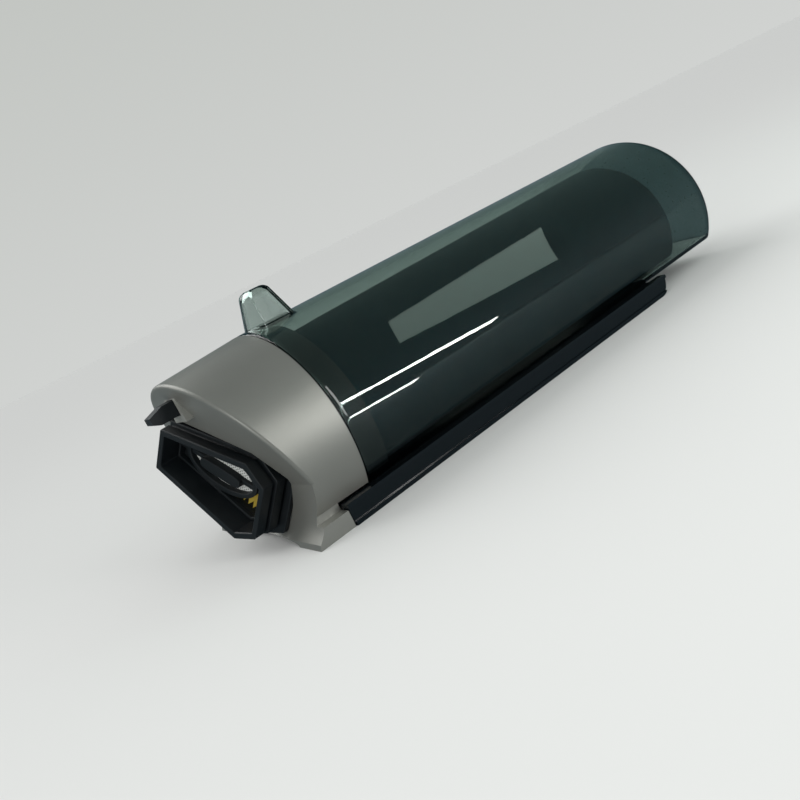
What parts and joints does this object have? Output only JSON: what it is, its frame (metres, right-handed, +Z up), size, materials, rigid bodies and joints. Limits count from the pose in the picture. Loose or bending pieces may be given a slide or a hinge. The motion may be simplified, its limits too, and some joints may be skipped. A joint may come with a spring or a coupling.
{
  "type": "floor scrubber dirty water tank with filter lid",
  "caption": "Smoked clear D-shaped dirty water tank on two back rails, with a grey pull-off lid whose black rubber outlet boot holds a pleated filter cassette.",
  "frame": {"origin": "middle of the overall length and width, on the surface under the rails", "axes": "+X from the lid to the closed end of the tank, +Y across it, +Z up from the rails to the fin"},
  "size_m": [0.2866, 0.096, 0.0872],
  "materials": {
    "smoked_plastic": "glossy smoked clear moulding",
    "silver_paint": "satin metallic silver-grey paint on plastic",
    "black_gloss": "glossy black moulding",
    "black_plastic": "fine matt black moulding",
    "black_rubber": "satin black rubber",
    "pale_plastic": "pale grey moulding",
    "grey_mesh": "fine grey-white nylon mesh",
    "yellow_paper": "folded yellow filter paper",
    "white_foam": "closed white float moulding",
    "steel": "plain steel wire and screws"
  },
  "bodies": {
    "tank": {"tank_shell": "smoked_plastic", "back_cover": "black_gloss", "inlet_seal": "black_rubber", "riser_pipe": "black_gloss", "riser_deflector": "black_plastic"},
    "lid": {"lid_shell": "silver_paint", "lid_seal": "black_rubber", "lid_collar": "black_plastic", "collar_screws": "steel", "float_cage": "black_plastic", "port_boot": "black_rubber", "port_duct": "black_plastic", "latch_guide": "pale_plastic", "latch_spring": "steel"},
    "filter": {"filter_grille": "black_plastic", "filter_mesh": "grey_mesh", "filter_tray": "black_plastic", "filter_pleats": "yellow_paper", "filter_seal": "black_rubber"},
    "latch": {"latch_bolt": "black_plastic"},
    "float": {"float_body": "white_foam"}
  },
  "joints": [
    {"name": "lid_pull", "type": "slide", "parent": "tank", "child": "lid", "axis": [-1, 0, 0], "range_m": [0, 0.045]},
    {"name": "filter_pull", "type": "slide", "parent": "lid", "child": "filter", "axis": [-1, 0, 0], "range_m": [0, 0.022]},
    {"name": "latch_press", "type": "slide", "parent": "lid", "child": "latch", "axis": [1, 0, 0], "range_m": [0, 0.0045], "stiffness_N_per_m": 600, "springref_m": -0.002, "deforming": ["latch_spring"]},
    {"name": "float_rise", "type": "slide", "parent": "lid", "child": "float", "axis": [-1, 0, 0], "range_m": [0, 0.009]}
  ]
}
